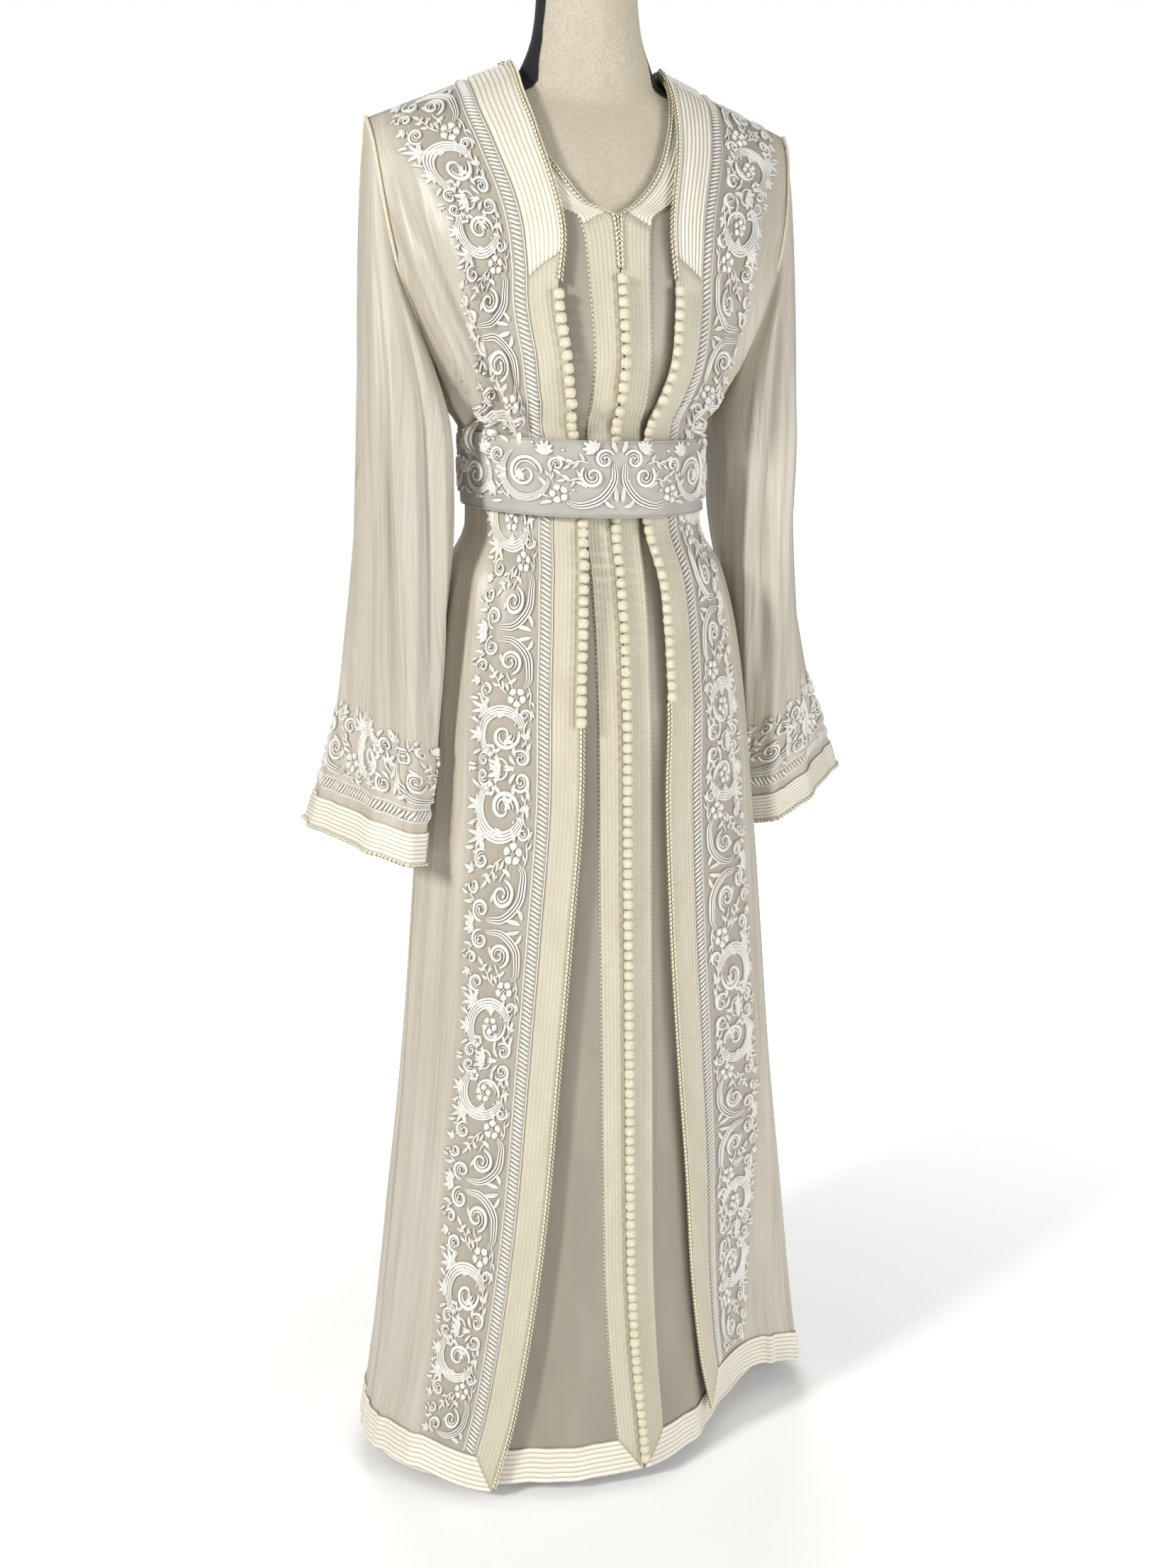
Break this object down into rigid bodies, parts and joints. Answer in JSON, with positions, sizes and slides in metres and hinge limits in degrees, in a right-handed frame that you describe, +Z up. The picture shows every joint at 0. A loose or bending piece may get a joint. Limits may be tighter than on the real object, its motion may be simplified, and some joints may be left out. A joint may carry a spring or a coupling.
{
  "type": "takchita on a dress form",
  "caption": "Floor-length two-layer ceremonial gown with braid bands, knotted buttons, flared sleeves and a wide belt, worn by a limbless dress form on a round stand.",
  "frame": {"origin": "centre of the underside of the stand's round base, on the floor", "axes": "+Z up, the gown's front faces -Y, the wearer's left is +X"},
  "size_m": [0.6496, 0.3487, 1.6],
  "materials": {
    "crepe": "ivory crepe satin with a soft sheen and fine upright streaks",
    "satin": "smooth pearl-grey satin",
    "braid": "woven cream silk braid in fine ribs",
    "knots": "tightly knotted cream silk thread",
    "belt_satin": "silver-grey satin over a stiff core",
    "linen": "unbleached linen cover over padding",
    "dark_cap": "matt black",
    "steel": "smooth dark grey paint"
  },
  "bodies": {
    "root": {"belt": "belt_satin", "cuff_band_left": "braid", "cuff_band_right": "braid", "form_body": "linen", "form_neck_cap": "dark_cap", "over_back": "crepe", "over_band_left": "braid", "over_band_right": "braid", "over_buttons_left": "knots", "over_buttons_right": "knots", "over_front_left": "crepe", "over_front_right": "crepe", "over_hem_band_back": "braid", "over_hem_band_left": "braid", "over_hem_band_right": "braid", "over_neck_band_back": "braid", "over_neck_band_left": "braid", "over_neck_band_right": "braid", "sleeve_left": "crepe", "sleeve_right": "crepe", "stand_base": "steel", "stand_pole": "steel", "under_back": "satin", "under_band_left": "braid", "under_band_right": "braid", "under_buttons": "knots", "under_front_left": "satin", "under_front_right": "satin", "under_hem_band_back": "braid", "under_hem_band_left": "braid", "under_hem_band_right": "braid", "under_neck_band_back": "braid", "under_neck_band_left": "braid", "under_neck_band_right": "braid"}
  },
  "joints": []
}
